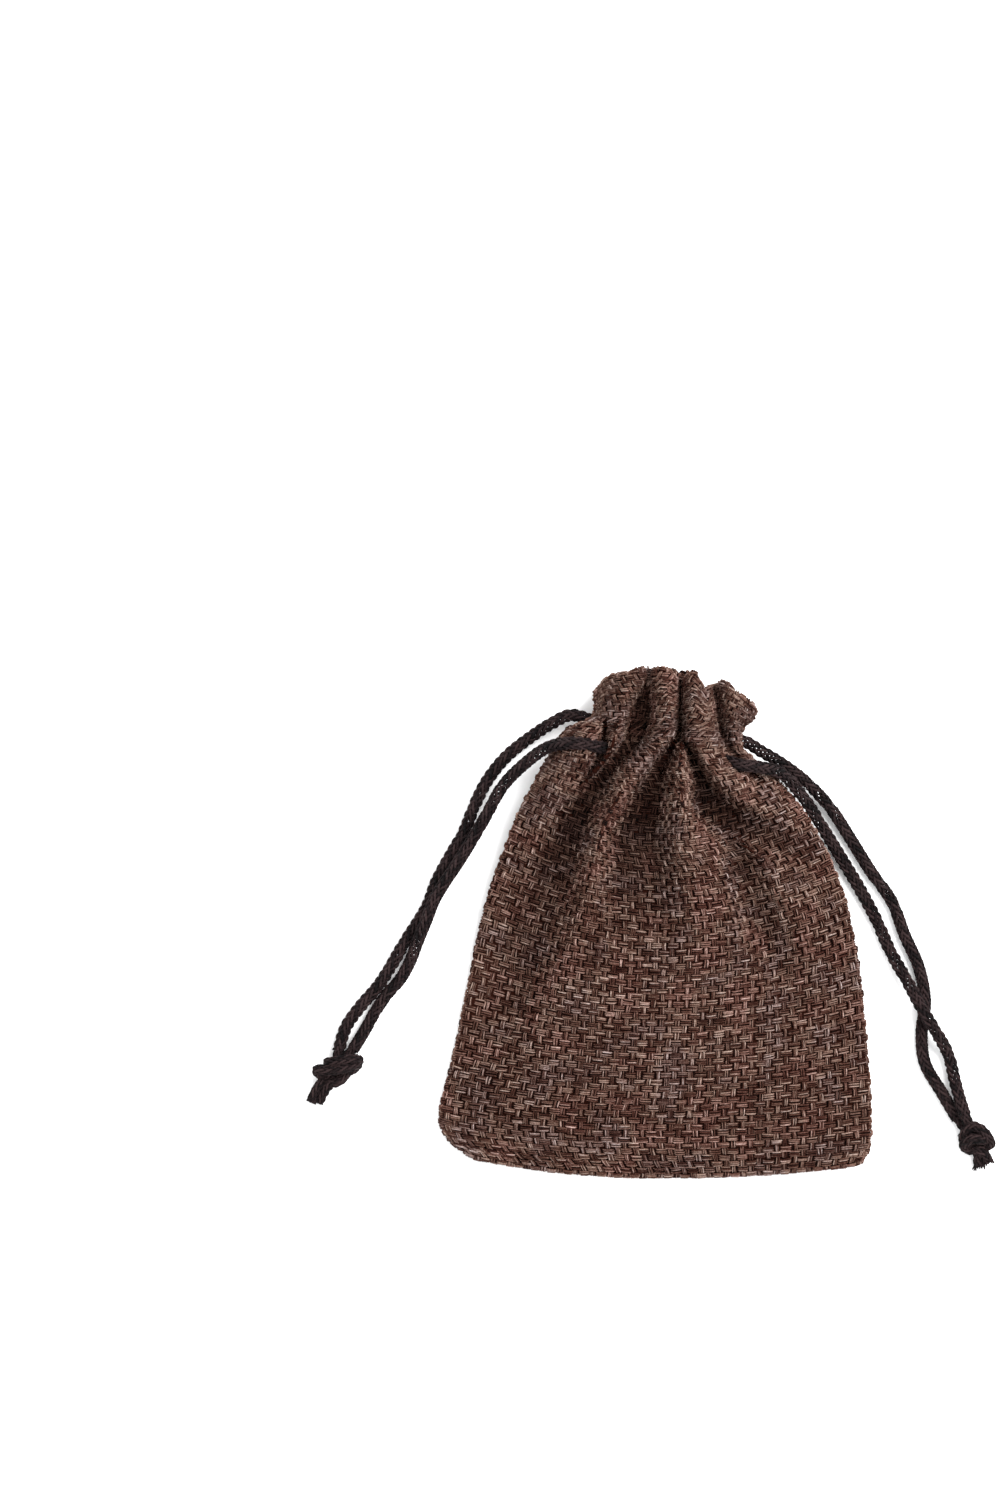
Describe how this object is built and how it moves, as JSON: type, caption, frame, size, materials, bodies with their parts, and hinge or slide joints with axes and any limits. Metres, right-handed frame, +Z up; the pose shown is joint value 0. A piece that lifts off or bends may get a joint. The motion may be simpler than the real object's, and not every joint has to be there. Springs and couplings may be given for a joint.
{
  "type": "drawstring sack",
  "caption": "Small drawstring sack of coarse woven burlap, lying on its back with its neck drawn shut, a braided cord knotted at each side.",
  "frame": {"origin": "the middle of the sack's own length and width, without its cords, on the surface that it lies on", "axes": "+X across the sack to its right as seen from above, +Y along the sack from its closed bottom to its frilled mouth, +Z up from the surface"},
  "size_m": [0.159, 0.1152, 0.0235],
  "materials": {
    "burlap": "coarse open plain weave in dark brown, matt",
    "braid": "braided cord, nearly black brown, matt"
  },
  "bodies": {
    "root": {"sack_cloth": "burlap", "drawcord_left": "braid", "drawcord_right": "braid", "knot_left": "braid", "knot_right": "braid"}
  },
  "joints": []
}
